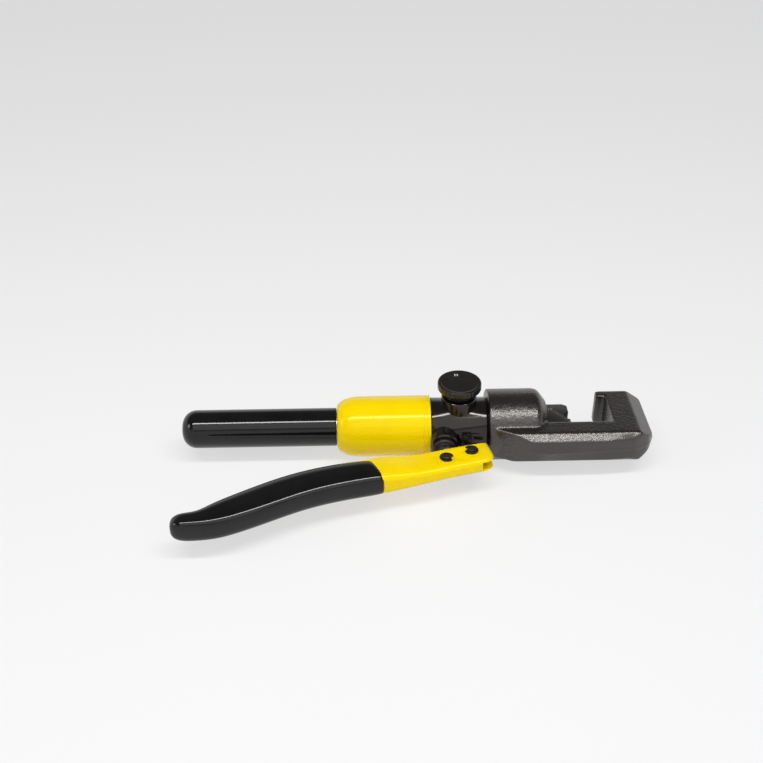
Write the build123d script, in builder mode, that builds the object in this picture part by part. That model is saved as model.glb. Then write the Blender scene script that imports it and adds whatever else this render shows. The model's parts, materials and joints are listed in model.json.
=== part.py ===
from build123d import *
from math import atan2, cos, degrees, hypot, sin, sqrt
import os

os.makedirs("parts", exist_ok=True)

# Hand hydraulic crimping tool, in millimetres. X runs along the ram axis from the
# grip to the C head, +Y is the open side of the C, the lever lies on the -Y side and
# the release knob stands up along +Z. The origin is on the ram axis, at the middle of
# the plain cylindrical wall of the oil reservoir.

running = 0.05             # radial clearance of pins, plungers and screws in their holes
slip = 0.2                 # radial gap beside seals and between pieces that only pass

# Oil reservoir shell, the yellow body
shell_radius = 20.2
shell_wall = 2.7
shell_plain = 40.0         # plain cylinder between the shoulder and the ring grooves
shell_shoulder = 16.0
shell_band = 5.9           # stretch with the ring grooves, next to the pump body
shell_neck_radius = 13.2
ring_groove_width = 0.9
ring_groove_depth = 0.35

# Handle tube and its dipped grip
tube_radius = 11.2
tube_wall = 2.0
tube_engage = 9.0          # length of the tube inside the shell's neck
grip_wall = 1.45
grip_length = 103.0
grip_end_cap = 6.0
grip_end_round = 9.5

# Pump body
pump_radius = 18.6
pump_length = 38.1
seam_gap = 1.0             # open seam in front of the swivelling head
spigot_length = 15.0       # threaded end inside the reservoir shell
nose_radius = 17.4         # spigot that carries the head
nose_length = 7.0

# Head forging
barrel_radius = 23.9
barrel_length = 33.5
shoulder_round = 6.0
cone_length = 5.8
cone_radius = 16.0
plate_half = 11.5          # half thickness of the C plate
throat_y = -13.8
throat_round = 1.0
pocket_depth = 6.0
lip_y = 14.8
tip_y = 21.3
spine_bevel_y = -26.9      # where the flat of the spine ends and its bevel starts
spine_bevel = 4.7
spine_y = -35.8            # parting line of the forging, at its widest
throat_length = 36.7       # from the cone's face to the lip of the jaw
jaw_thickness = 27.0
jaw_bevel = 11.4
jaw_bevel_drop = 7.0

# Ram and die
ram_radius = 15.0
rod_radius = 10.5
piston_length = 7.0
front_wall = 6.0
die_width = 27.0
die_thickness = 12.0
die_length = 16.0
die_stub_radius = 4.0
die_stub_length = 9.0
die_across_flats = 7.0     # hexagon that the closed dies press

# Lever linkage, seen along Z
plunger_x_back = 30.0      # plunger axis, behind the seam
plunger_radius = 4.0
tongue_half = 3.1
plunger_pin_y = -43.0
fulcrum_x_ahead = 16.5     # fulcrum pin ahead of the plunger pin
fulcrum_y = -35.8
link_pin_y = -22.3
link_x_ahead = 14.0
pin_radius = 3.0
link_pin_radius = 2.5
link_half = 3.0
link_play = 1.0            # play of the link's eye on the fulcrum pin

# Lever channel and grip
lever_half = 5.2           # half width at the pivot end
lever_grip_half = 7.6      # half width inside the grip
lever_sheet = 1.8
lever_grip_wall = 1.4

# Release valve
knob_radius = 14.4
knob_top = 34.6
knob_rim = 4.6
knob_hub_radius = 11.0
knob_bottom = 25.2
knob_flutes = 36
stem_radius = 3.5
boss_radius = 11.6
boss_top = 23.6
knob_x_back = 19.1

# Stations along the ram axis
shell_left = -shell_plain / 2 - shell_shoulder
shell_right = shell_plain / 2 + shell_band
seam_x = shell_right + pump_length
plunger_x = seam_x - plunger_x_back
fulcrum_x = plunger_x + fulcrum_x_ahead
link_x = plunger_x + link_x_ahead
knob_x = seam_x - knob_x_back
face_x = seam_x + barrel_length + cone_length
lip_x = face_x + throat_length
pocket_x = lip_x + pocket_depth
jaw_x = pocket_x + jaw_thickness
die_x = face_x + 0.5


def save(builder, name):
    builder.part.label = name
    export_step(builder.part, f"parts/{name}.step")
    box = builder.part.bounding_box()
    print(f"{name:22s} volume {builder.part.volume:9.1f}  x {box.min.X:7.1f} {box.max.X:7.1f}"
          f"  y {box.min.Y:7.1f} {box.max.Y:7.1f}  z {box.min.Z:7.1f} {box.max.Z:7.1f}")


def turned(outline, origin=(0, 0, 0), axis="X", rounds=0.0):
    """Turn an outline about an axis through origin.

    The outline is (x, radius) about X, (radius, y) about Y and (radius, z) about Z.
    Its corners can be rounded, all alike or each by its own radius.
    """
    facing = (0, 0, 1) if axis == "Y" else (0, -1, 0)
    direction = {"X": (1, 0, 0), "Y": (0, 1, 0), "Z": (0, 0, 1)}[axis]
    with BuildPart() as blank:
        with BuildSketch(Plane(origin=origin, x_dir=(1, 0, 0), z_dir=facing)):
            with BuildLine():
                FilletPolyline(*outline, radius=rounds, close=True)
            make_face()
        revolve(axis=Axis(origin, direction))
    return blank.part


def drilled(start, end, radius):
    """Straight round hole, or rod, from start to end."""
    run = Vector(*end) - Vector(*start)
    with BuildPart() as tool:
        with BuildSketch(Plane(origin=start, z_dir=run)):
            Circle(radius)
        extrude(amount=run.length)
    return tool.part


def ring(x_from, x_to, inner, outer, y=0.0):
    """Plain ring about an axis along X."""
    return turned([(x_from, inner), (x_to, inner), (x_to, outer), (x_from, outer)], (0, y, 0))


def along_x(x, y=0.0):
    """Sketch plane across the ram axis, its normal along +X."""
    return Plane(origin=(x, y, 0), x_dir=(0, 1, 0), z_dir=(1, 0, 0))


def coil(start, length, radius, wire, turns):
    """Compression spring along +X from start, between two flat seats."""
    x, y, z = start
    rise = length - wire
    path = Helix(pitch=rise / turns, height=rise, radius=radius,
                 center=(x + wire / 2, y, z), direction=(1, 0, 0))
    with BuildPart() as spring:
        with BuildSketch(Plane(origin=path @ 0, z_dir=path % 0)):
            RegularPolygon(wire / 2, 6)
        sweep(path=path)
    return spring.part


# Reservoir shell: shoulder, plain wall, ring grooves, thread for the pump body
shell_cavity = shell_radius - shell_wall
cavity_left = -shell_plain / 2 - 2.0
tube_stop = shell_left + tube_engage
neck_hole = 6.5
groove_pitch = 2.4
with BuildPart() as reservoir_shell:
    with BuildSketch(Plane.XZ):
        with BuildLine():
            shoulder = EllipticalCenterArc(
                (-shell_plain / 2, shell_neck_radius), shell_shoulder,
                shell_radius - shell_neck_radius, start_angle=90, arc_size=90)
            Polyline(shoulder @ 1, (shell_left, tube_radius + running), (tube_stop, tube_radius + running),
                     (tube_stop, neck_hole), (cavity_left, neck_hole), (cavity_left, shell_cavity),
                     (shell_right, shell_cavity), (shell_right, shell_radius), shoulder @ 0)
        make_face()
    revolve(axis=Axis.X)
    for step in (1, 2):
        groove_x = shell_right - groove_pitch * step
        add(ring(groove_x - ring_groove_width / 2, groove_x + ring_groove_width / 2,
                 shell_radius - ring_groove_depth, shell_radius + 1), mode=Mode.SUBTRACT)
    lips = reservoir_shell.edges().filter_by(GeomType.CIRCLE).filter_by_position(
        Axis.X, shell_right - 0.01, shell_right + 0.01).sort_by(SortBy.RADIUS)
    chamfer(lips[-1], 0.5)
save(reservoir_shell, "reservoir_shell")

# Handle tube, screwed into the neck, and its dipped grip
grip_left = shell_left - grip_length
tube_left = grip_left + grip_end_cap
with BuildPart() as handle_tube:
    add(ring(tube_left, tube_stop - 0.1, tube_radius - tube_wall, tube_radius))
save(handle_tube, "handle_tube")

grip_radius = tube_radius + 0.1 + grip_wall
with BuildPart() as fixed_grip:
    add(ring(grip_left, shell_left - 0.3, 0.001, grip_radius))
    far = fixed_grip.edges().filter_by(GeomType.CIRCLE).group_by(Axis.X)[0].sort_by(SortBy.RADIUS)[-1]
    fillet(far, grip_end_round)
    mouth = fixed_grip.edges().filter_by(GeomType.CIRCLE).group_by(Axis.X)[-1].sort_by(SortBy.RADIUS)[-1]
    fillet(mouth, 0.6)
    add(drilled((tube_left - 0.1, 0, 0), (shell_left + 1, 0, 0), tube_radius + 0.1), mode=Mode.SUBTRACT)
save(fixed_grip, "fixed_grip")

# Pump body: one machined block with its bosses, bores and valve passages
spigot_left = shell_right - spigot_length
body_right = seam_x - seam_gap
nose_right = seam_x + nose_length
chamber_y = 9.4 - nose_radius      # bore of the suction and discharge valves
relief_y = nose_radius - 8.4
plunger_floor = -6.5
gland_boss_radius = 10.0
gland_boss_y = -25.5
gland_thread = 5.4
gland_floor = -20.0        # beyond the plunger's tip at the end of its way out
packing = 2.2              # length of the plunger's seal, pressed by the gland
passage = 1.1
valve_ball = 2.0
valve_bore = 3.0
seat_length = 6.0
suction_seat_x = spigot_left + seat_length
ball_sink = valve_ball - sqrt(valve_ball ** 2 - 1.2 ** 2)
suction_ball_x = suction_seat_x + valve_ball - ball_sink + 0.02
suction_spring_x = suction_ball_x + valve_ball * 0.8
suction_step = suction_spring_x + 2.2
discharge_seat = plunger_x + 8.0
relief_seat = seam_x - 14.0
stem_floor = 2.6
stem_bore = stem_radius + running
return_z = 4.6
lug_radius = 4.0
lug_half = 6.5
link_slot_y = -17.4
seal_groove = 2.0
head_seal_x = seam_x + 1.4
seal_width = 2.2
keeper_x = seam_x + 4.7    # wire ring that keeps the head on the pump body
keeper_width = 1.4
keeper_inner = nose_radius - 1.4
keeper_outer = nose_radius + 1.0
with BuildPart() as pump_body:
    add(turned([(spigot_left, 0), (spigot_left, shell_cavity - running), (shell_right, shell_cavity - running),
                (shell_right, pump_radius - 0.6), (shell_right + 0.6, pump_radius),
                (body_right - 0.6, pump_radius), (body_right, pump_radius - 0.6),
                (body_right, nose_radius), (nose_right, nose_radius), (nose_right, 0)]))
    with BuildSketch(Plane.XY.offset(8)):
        with Locations((knob_x, 0)):
            Circle(boss_radius)
    extrude(amount=boss_top - 8)
    with BuildSketch(Plane(origin=(plunger_x, -8, 0), x_dir=(1, 0, 0), z_dir=(0, -1, 0))):
        Circle(gland_boss_radius)
        with Locations((shell_right - plunger_x - gland_boss_radius, 0)):
            Rectangle(2 * gland_boss_radius, 3 * gland_boss_radius, mode=Mode.SUBTRACT)
    extrude(amount=-8 - gland_boss_y)
    with BuildSketch(Plane.XY):
        with Locations((link_x, link_pin_y)):
            Circle(lug_radius)
        with Locations((link_x, link_pin_y + lug_radius)):
            Rectangle(2 * lug_radius, 2 * lug_radius)
    extrude(amount=lug_half, both=True)
    chamfer(pump_body.faces().sort_by(Axis.Z)[-1].edges(), 0.8)
    chamfer(pump_body.faces().filter_by(Axis.Y).filter_by(
        lambda f: abs(f.center().Y - gland_boss_y) < 0.1).edges(), 0.8)
    # link slot and its pin hole
    with BuildSketch(Plane.XY):
        with Locations((link_x, link_slot_y - 2 * lug_radius)):
            Rectangle(3 * lug_radius, 4 * lug_radius)
    extrude(amount=link_half + slip, both=True, mode=Mode.SUBTRACT)
    add(drilled((link_x, link_pin_y, -lug_half - 1), (link_x, link_pin_y, lug_half + 1),
                link_pin_radius + running), mode=Mode.SUBTRACT)
    # plunger bore and the thread of its gland
    add(drilled((plunger_x, gland_boss_y - 1, 0), (plunger_x, plunger_floor, 0),
                plunger_radius + running), mode=Mode.SUBTRACT)
    add(drilled((plunger_x, gland_boss_y - 1, 0), (plunger_x, gland_floor, 0),
                gland_thread + running), mode=Mode.SUBTRACT)
    # suction valve from the reservoir, discharge valve to the ram
    add(drilled((spigot_left - 1, chamber_y, 0), (suction_step, chamber_y, 0), 3.5 + running),
        mode=Mode.SUBTRACT)
    add(drilled((suction_step - 1, chamber_y, 0), (discharge_seat + 1, chamber_y, 0), passage),
        mode=Mode.SUBTRACT)
    add(drilled((discharge_seat, chamber_y, 0), (nose_right + 1, chamber_y, 0), valve_bore + running),
        mode=Mode.SUBTRACT)
    # relief valve, opened from the reservoir side
    add(drilled((spigot_left - 1, relief_y, 0), (relief_seat, relief_y, 0), valve_bore + running),
        mode=Mode.SUBTRACT)
    add(drilled((relief_seat - 1, relief_y, 0), (nose_right + 1, relief_y, 0), passage), mode=Mode.SUBTRACT)
    # release valve under the knob, with its feed and return passages
    add(drilled((knob_x, 0, stem_floor), (knob_x, 0, boss_top + 1), stem_bore), mode=Mode.SUBTRACT)
    add(drilled((knob_x, 0, 0), (knob_x, 0, stem_floor + 1), passage), mode=Mode.SUBTRACT)
    add(drilled((knob_x - passage, 0, 0), (nose_right + 1, 0, 0), passage), mode=Mode.SUBTRACT)
    add(drilled((spigot_left - 1, 0, return_z), (knob_x, 0, return_z), passage), mode=Mode.SUBTRACT)
    # grooves of the two seals and of the keeper ring
    add(ring(head_seal_x, head_seal_x + seal_width, nose_radius - seal_groove, nose_radius + 1),
        mode=Mode.SUBTRACT)
    add(ring(keeper_x, keeper_x + keeper_width, keeper_inner, nose_radius + 1), mode=Mode.SUBTRACT)
    shell_seal_x = shell_right - 4.0
    add(ring(shell_seal_x, shell_seal_x + seal_width, shell_cavity - seal_groove, shell_cavity + 1),
        mode=Mode.SUBTRACT)
save(pump_body, "pump_body")

with BuildPart() as shell_seal:
    add(ring(shell_seal_x + 0.1, shell_seal_x + seal_width - 0.1, shell_cavity - seal_groove + 0.02,
             shell_cavity - 0.02))
save(shell_seal, "shell_seal")

with BuildPart() as head_seal:
    add(ring(head_seal_x + 0.1, head_seal_x + seal_width - 0.1, nose_radius - seal_groove + 0.02,
             nose_radius))
save(head_seal, "head_seal")

with BuildPart() as head_keeper_ring:
    add(ring(keeper_x + 0.05, keeper_x + keeper_width - 0.05, keeper_inner + 0.1, keeper_outer))
    with BuildSketch(Plane.XZ.offset(-keeper_inner)):
        with Locations((keeper_x + keeper_width / 2, 0)):
            Rectangle(keeper_width + 1, 3.0)
    extrude(amount=-6, mode=Mode.SUBTRACT)
save(head_keeper_ring, "head_keeper_ring")

# Gland that closes the plunger bore, with the plunger's seal
gland_y = -28.0
gland_radius = 7.5
gland_nose_y = gland_floor - packing
with BuildPart() as plunger_gland:
    hole = plunger_radius + running
    add(turned([(hole, gland_y), (gland_radius - 0.8, gland_y), (gland_radius, gland_y + 0.8),
                (gland_radius, gland_boss_y), (gland_thread, gland_boss_y), (gland_thread, gland_nose_y),
                (hole, gland_nose_y)], (plunger_x, 0, 0), "Y"))
save(plunger_gland, "plunger_gland")

with BuildPart() as plunger_seal:
    bore = plunger_radius + 0.03
    add(turned([(bore, gland_nose_y + 0.05), (gland_thread, gland_nose_y + 0.05), (gland_thread, gland_floor - 0.05),
                (bore, gland_floor - 0.05)], (plunger_x, 0, 0), "Y"))
save(plunger_seal, "plunger_seal")

# Suction valve
with BuildPart() as suction_seat:
    add(ring(spigot_left, suction_seat_x, 1.2, 3.5, chamber_y))
save(suction_seat, "suction_seat")

with BuildPart() as suction_screen:
    add(ring(spigot_left - 1.0, spigot_left, 0.001, 3.4, chamber_y))
save(suction_screen, "suction_screen")

with BuildPart() as suction_ball:
    with Locations((suction_ball_x, chamber_y, 0)):
        Sphere(valve_ball)
save(suction_ball, "suction_ball")

with BuildPart() as suction_spring:
    add(coil((suction_spring_x, chamber_y, 0), suction_step - suction_spring_x, 1.9, 0.5, 2))
save(suction_spring, "suction_spring")

# Discharge valve: ball, spring and hollow screw
discharge_ball_x = discharge_seat + sqrt(valve_ball ** 2 - passage ** 2) + 0.02
discharge_screw_x = discharge_seat + 14.0
screw_length = 6.0
with BuildPart() as discharge_ball:
    with Locations((discharge_ball_x, chamber_y, 0)):
        Sphere(valve_ball)
save(discharge_ball, "discharge_ball")

discharge_spring_x = discharge_ball_x + valve_ball * 0.8
with BuildPart() as discharge_spring:
    add(coil((discharge_spring_x, chamber_y, 0), discharge_screw_x - discharge_spring_x, 1.9, 0.5, 4))
save(discharge_spring, "discharge_spring")

with BuildPart() as discharge_screw:
    add(ring(discharge_screw_x, discharge_screw_x + screw_length, 1.2, valve_bore, chamber_y))
    with BuildSketch(along_x(discharge_screw_x + screw_length, chamber_y)):
        Rectangle(2 * valve_bore + 1, 1.0)
    extrude(amount=-1.2, mode=Mode.SUBTRACT)
save(discharge_screw, "discharge_screw")

# Relief valve: ball, spring and set screw, on the reservoir side
relief_ball_x = relief_seat - sqrt(valve_ball ** 2 - passage ** 2) - 0.02
relief_spring_x = relief_ball_x - valve_ball * 0.8
relief_spring_length = 14.0
relief_screw_x = relief_spring_x - relief_spring_length
with BuildPart() as relief_ball:
    with Locations((relief_ball_x, relief_y, 0)):
        Sphere(valve_ball)
save(relief_ball, "relief_ball")

with BuildPart() as relief_spring:
    add(coil((relief_screw_x, relief_y, 0), relief_spring_length, 2.0, 0.8, 5))
save(relief_spring, "relief_spring")

with BuildPart() as relief_screw:
    add(ring(relief_screw_x - screw_length, relief_screw_x, 0.8, valve_bore, relief_y))
    with BuildSketch(along_x(relief_screw_x - screw_length, relief_y)):
        RegularPolygon(1.5, 6, major_radius=False)
    extrude(amount=3.0, mode=Mode.SUBTRACT)
save(relief_screw, "relief_screw")

# Rubber oil bladder inside the reservoir, and the plug in its neck
bladder_wall = 1.2
bladder_radius = shell_cavity - 1.0
bladder_right = spigot_left - 1.2
bladder_flange = 1.2
with BuildPart() as oil_bladder:
    neck = neck_hole - 1.7
    add(turned([(cavity_left - 4.5, neck - bladder_wall), (cavity_left - 4.5, neck), (cavity_left + 0.6, neck),
                (cavity_left + 4.0, bladder_radius), (bladder_right - bladder_flange, bladder_radius),
                (bladder_right - bladder_flange, shell_cavity - running), (bladder_right, shell_cavity - running),
                (bladder_right, bladder_radius - bladder_wall),
                (cavity_left + 4.0 + bladder_wall, bladder_radius - bladder_wall),
                (cavity_left + 0.6 + bladder_wall, neck - bladder_wall)]))
save(oil_bladder, "oil_bladder")

with BuildPart() as bladder_plug:
    add(turned([(cavity_left - 6.0, 0), (cavity_left - 6.0, neck), (cavity_left - 4.5, neck),
                (cavity_left - 4.5, neck - bladder_wall - 0.02), (cavity_left - 0.5, neck - bladder_wall - 0.02),
                (cavity_left - 0.5, 0)]))
    with BuildSketch(along_x(cavity_left - 6.0)):
        Rectangle(2 * neck + 1, 1.0)
    extrude(amount=0.9, mode=Mode.SUBTRACT)
save(bladder_plug, "bladder_plug")

# Bladder clamp ring, between the bladder's flange and the pump body
with BuildPart() as bladder_clamp:
    add(ring(bladder_right + 0.02, spigot_left - 0.02, shell_cavity - 4.5, shell_cavity - running))
save(bladder_clamp, "bladder_clamp")

# Release valve: ball, stem, its seal, and the knob
release_ball_z = stem_floor + sqrt(valve_ball ** 2 - passage ** 2) + 0.02
stem_bottom = release_ball_z + valve_ball + 0.02
stem_seal_z = boss_top - 4.0
with BuildPart() as release_ball:
    with Locations((knob_x, 0, release_ball_z)):
        Sphere(valve_ball)
save(release_ball, "release_ball")

stem_top = knob_top - 2.6
with BuildPart() as release_stem:
    add(turned([(0, stem_bottom), (1.6, stem_bottom), (1.6, stem_bottom + 1.2), (stem_radius, stem_bottom + 2.6),
                (stem_radius, stem_seal_z), (stem_radius - 1.2, stem_seal_z),
                (stem_radius - 1.2, stem_seal_z + 1.8), (stem_radius, stem_seal_z + 1.8),
                (stem_radius, stem_top), (0, stem_top)], (knob_x, 0, 0), "Z"))
save(release_stem, "release_stem")

with BuildPart() as stem_seal:
    add(turned([(stem_radius - 1.17, stem_seal_z + 0.1), (stem_radius + 0.02, stem_seal_z + 0.1),
                (stem_radius + 0.02, stem_seal_z + 1.7), (stem_radius - 1.17, stem_seal_z + 1.7)],
               (knob_x, 0, 0), "Z"))
save(stem_seal, "stem_seal")

rim_bottom = knob_top - knob_rim
flute_radius = 0.8
flute_depth = 0.35
screw_head_radius = 3.0
screw_head = 2.2
with BuildPart() as release_knob:
    add(turned([(stem_radius + 0.02, knob_bottom), (knob_hub_radius - 0.6, knob_bottom),
                (knob_hub_radius, knob_bottom + 0.6), (knob_radius - 0.6, rim_bottom - 0.4),
                (knob_radius, rim_bottom + 0.2), (knob_radius, knob_top - 0.9), (knob_radius - 0.9, knob_top),
                (knob_radius - 2.2, knob_top), (knob_radius - 2.6, knob_top - 0.35), (0, knob_top - 0.35),
                (0, stem_top + 0.02), (stem_radius + 0.02, stem_top + 0.02)], (knob_x, 0, 0), "Z"))
    with BuildSketch(Plane.XY.offset(rim_bottom - 1)):
        with Locations((knob_x, 0)):
            with PolarLocations(knob_radius + flute_radius - flute_depth, knob_flutes):
                RegularPolygon(flute_radius, 4)
    extrude(amount=knob_rim - 0.4, mode=Mode.SUBTRACT)
save(release_knob, "release_knob")

# Ram, its seal and its return spring
piston_left = nose_right + 1.0
piston_right = piston_left + piston_length
spring_wire = 1.7
ram_face_x = die_x
stub_hole = die_stub_length + 1.0
with BuildPart() as ram:
    seal_x = piston_left + 2.0
    add(turned([(piston_left, 0), (piston_left, ram_radius - 0.8), (piston_left + 0.8, ram_radius),
                (seal_x, ram_radius), (seal_x, ram_radius - seal_groove),
                (seal_x + seal_width, ram_radius - seal_groove), (seal_x + seal_width, ram_radius),
                (piston_right, ram_radius), (piston_right, rod_radius), (ram_face_x - 0.6, rod_radius),
                (ram_face_x, rod_radius - 0.6), (ram_face_x, die_stub_radius + running),
                (ram_face_x - stub_hole, die_stub_radius + running), (ram_face_x - stub_hole, 0)]))
save(ram, "ram")

with BuildPart() as ram_seal:
    add(ring(seal_x + 0.1, seal_x + seal_width - 0.1, ram_radius - seal_groove + 0.02, ram_radius + 0.02))
save(ram_seal, "ram_seal")

front_wall_x = face_x - front_wall
with BuildPart() as return_spring:
    add(coil((piston_right, 0, 0), front_wall_x - piston_right, (rod_radius + ram_radius) / 2 + 0.1,
             spring_wire, 3.5))
save(return_spring, "return_spring")

# Crimping die on the ram, half of a hexagon open to the front
die_front = die_x + die_length
hex_side = die_across_flats / sqrt(3)
with BuildPart() as moving_die:
    with BuildSketch(Plane.XY):
        with BuildLine():
            Polyline((die_x, -die_width / 2), (die_front - 3.0, -die_width / 2),
                     (die_front, -die_width / 2 + 2.0), (die_front, -hex_side),
                     (die_front - die_across_flats / 2, -hex_side / 2),
                     (die_front - die_across_flats / 2, hex_side / 2), (die_front, hex_side),
                     (die_front, die_width / 2 - 2.0), (die_front - 3.0, die_width / 2),
                     (die_x, die_width / 2), close=True)
        make_face()
    extrude(amount=die_thickness / 2, both=True)
    chamfer(moving_die.faces().sort_by(Axis.Z)[-1].edges().filter_by(Axis.Y).sort_by(Axis.X)[0], 0.4)
    with BuildSketch(along_x(die_x)):
        Circle(die_stub_radius)
    extrude(amount=-die_stub_length)
save(moving_die, "moving_die")

# Head forging: barrel with the ram bore, and the C plate
bore_left = nose_right + 0.3
head_left = seam_x
with BuildPart() as plate:
    with BuildSketch(Plane.XY):
        with BuildLine():
            FilletPolyline((head_left + 3.5, throat_y), (head_left + 3.5, -22.0), (head_left + 20.0, -29.6),
                           (head_left + 36.0, spine_y), (head_left + 46.0, spine_y + 0.9),
                           (jaw_x - 14.0, spine_y + 5.8), (jaw_x - 4.5, spine_y + 10.5), (jaw_x, spine_y + 19.0),
                           (jaw_x, tip_y), (lip_x, tip_y), (lip_x, lip_y), (pocket_x, lip_y),
                           (pocket_x, throat_y), close=True,
                           radius=(0, 1.5, 24, 9, 20, 16, 8, 10, 4, 1.2, throat_round, 0, 0))
        make_face()
    extrude(amount=plate_half, both=True)
    with BuildSketch(Plane.YZ):
        with BuildLine():
            Polyline((tip_y + 1, plate_half), (spine_bevel_y, plate_half),
                     (spine_bevel_y - spine_bevel, plate_half - spine_bevel), (spine_y - 0.1, 0),
                     (spine_bevel_y - spine_bevel, -plate_half + spine_bevel), (spine_bevel_y, -plate_half),
                     (tip_y + 1, -plate_half), close=True)
        make_face()
    extrude(amount=jaw_x + 10, mode=Mode.INTERSECT)
    with BuildSketch(Plane.XZ):
        with BuildLine():
            Polyline((0, plate_half), (jaw_x - jaw_bevel, plate_half),
                     (jaw_x - 1.4, plate_half - jaw_bevel_drop), (jaw_x, 0),
                     (jaw_x - 1.4, -plate_half + jaw_bevel_drop), (jaw_x - jaw_bevel, -plate_half),
                     (0, -plate_half), close=True)
        make_face()
    extrude(amount=100, both=True, mode=Mode.INTERSECT)

with BuildPart() as head_frame:
    add(turned([(head_left, nose_radius + running), (head_left, barrel_radius),
                (head_left + barrel_length, barrel_radius), (face_x, cone_radius), (face_x, 0), (bore_left, 0),
                (bore_left, nose_radius + running)], rounds=(0, 0.8, shoulder_round, 1.2, 0, 0, 0)))
    add(plate.part)
    rims = head_frame.faces().filter_by(Axis.Y).filter_by(lambda face: face.center().X > face_x)
    fillet(rims.edges().filter_by(Axis.X), throat_round)
    add(drilled((head_left - 1, 0, 0), (bore_left, 0, 0), nose_radius + running), mode=Mode.SUBTRACT)
    add(drilled((bore_left - 1, 0, 0), (front_wall_x, 0, 0), ram_radius + running), mode=Mode.SUBTRACT)
    add(drilled((bore_left, 0, 0), (face_x + 1, 0, 0), rod_radius + running), mode=Mode.SUBTRACT)
    add(ring(keeper_x - 0.05, keeper_x + keeper_width + 0.05, nose_radius - 1, keeper_outer + running),
        mode=Mode.SUBTRACT)
save(head_frame, "head_frame")

# Plunger: round rod milled to two flats between the lever's cheeks, with an eye for its pin
plunger_tip_y = -12.0
flat_y = -26.4             # the flats start inside the gland
tongue_y = -32.0
tongue_eye = 5.0
with BuildPart() as plunger:
    add(drilled((plunger_x, plunger_tip_y, 0), (plunger_x, tongue_y, 0), plunger_radius))
    chamfer(plunger.edges().group_by(Axis.Y)[-1], 0.6)
    with BuildSketch(Plane.XY):
        with Locations((plunger_x, (tongue_y + plunger_pin_y) / 2)):
            Rectangle(2 * plunger_radius, tongue_y - plunger_pin_y)
        with Locations((plunger_x, plunger_pin_y)):
            Circle(tongue_eye)
    extrude(amount=tongue_half, both=True)
    with BuildSketch(Plane.YZ.offset(plunger_x)):
        with Locations((flat_y - 10, tongue_half + 5), (flat_y - 10, -tongue_half - 5)):
            Rectangle(20, 10)
    extrude(amount=10, both=True, mode=Mode.SUBTRACT)
    add(drilled((plunger_x, plunger_pin_y, -10), (plunger_x, plunger_pin_y, 10), pin_radius + running),
        mode=Mode.SUBTRACT)
save(plunger, "plunger")

# Rocker link between the pump body and the fulcrum pin
link_eye = 3.9
fulcrum_eye = 6.0
link_waist = 3.4
lean = atan2(fulcrum_x - link_x, link_pin_y - fulcrum_y)
with BuildPart() as rocker_link:
    with BuildSketch(Plane.XY):
        with Locations((link_x, link_pin_y)):
            Circle(link_eye)
        with Locations((fulcrum_x, fulcrum_y)):
            Circle(fulcrum_eye)
        with Locations(Location(((link_x + fulcrum_x) / 2, (link_pin_y + fulcrum_y) / 2, 0), degrees(lean))):
            Rectangle(2 * link_waist, hypot(fulcrum_x - link_x, fulcrum_y - link_pin_y))
    extrude(amount=link_half, both=True)
    add(drilled((link_x, link_pin_y, -10), (link_x, link_pin_y, 10), link_pin_radius + running),
        mode=Mode.SUBTRACT)
    add(drilled((fulcrum_x, fulcrum_y, -10), (fulcrum_x, fulcrum_y, 10), pin_radius + link_play),
        mode=Mode.SUBTRACT)
save(rocker_link, "rocker_link")

with BuildPart() as link_pin:
    add(drilled((link_x, link_pin_y, -lug_half + 0.3), (link_x, link_pin_y, lug_half - 0.3), link_pin_radius))
    chamfer(link_pin.edges().filter_by(GeomType.CIRCLE), 0.4)
save(link_pin, "link_pin")

# Lever: channel pressed from sheet, narrow at the pivots and wider in the grip. Its
# blank is the outline seen along Z, cut to the outline seen along Y. Each station
# gives x and y of the middle line, the half depth and the half width.
lever_round = 3.6          # outer bend radius of the sheet
stations = [
    (fulcrum_x + 13.9, fulcrum_y - 0.4, 9.2, lever_half),
    (fulcrum_x + 4.0, fulcrum_y - 2.6, 9.3, lever_half),
    (plunger_x - 0.7, plunger_pin_y - 1.2, 9.5, lever_half),
    (plunger_x - 22.7, plunger_pin_y - 7.8, 9.5, lever_half + 0.7),
    (plunger_x - 41.0, plunger_pin_y - 11.2, 10.1, lever_grip_half - 0.2),
    (plunger_x - 58.7, plunger_pin_y - 14.2, 10.7, lever_grip_half),
    (plunger_x - 80.1, plunger_pin_y - 19.6, 11.0, lever_grip_half),
    (plunger_x - 99.8, plunger_pin_y - 27.4, 11.2, lever_grip_half),
    (plunger_x - 121.6, plunger_pin_y - 39.8, 10.9, lever_grip_half),
    (plunger_x - 140.6, plunger_pin_y - 50.0, 9.6, lever_grip_half - 0.3),
    (plunger_x - 150.8, plunger_pin_y - 54.7, 6.5, lever_grip_half - 0.7),
    (plunger_x - 160.2, plunger_pin_y - 55.8, 5.4, lever_grip_half - 0.9),
]
straight_to = 2            # last station of the narrow stretch
grip_from = 3              # station where the blank of the grip starts
grip_first = 5             # from here the channel's edges stand back inside the grip
grip_setback = 3.2


def heading(index):
    """Direction of the middle line at a station, in radians."""
    ahead = stations[max(index - 1, 0)]
    behind = stations[min(index + 1, len(stations) - 1)]
    return atan2(ahead[1] - behind[1], ahead[0] - behind[0])


def side_point(index, offset, shift=0.0):
    """Point beside a station's middle line, towards the open back, and shifted along it."""
    x, y = stations[index][:2]
    turn = heading(index)
    return (x - offset * sin(turn) + shift * cos(turn), y + offset * cos(turn) + shift * sin(turn))


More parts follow.
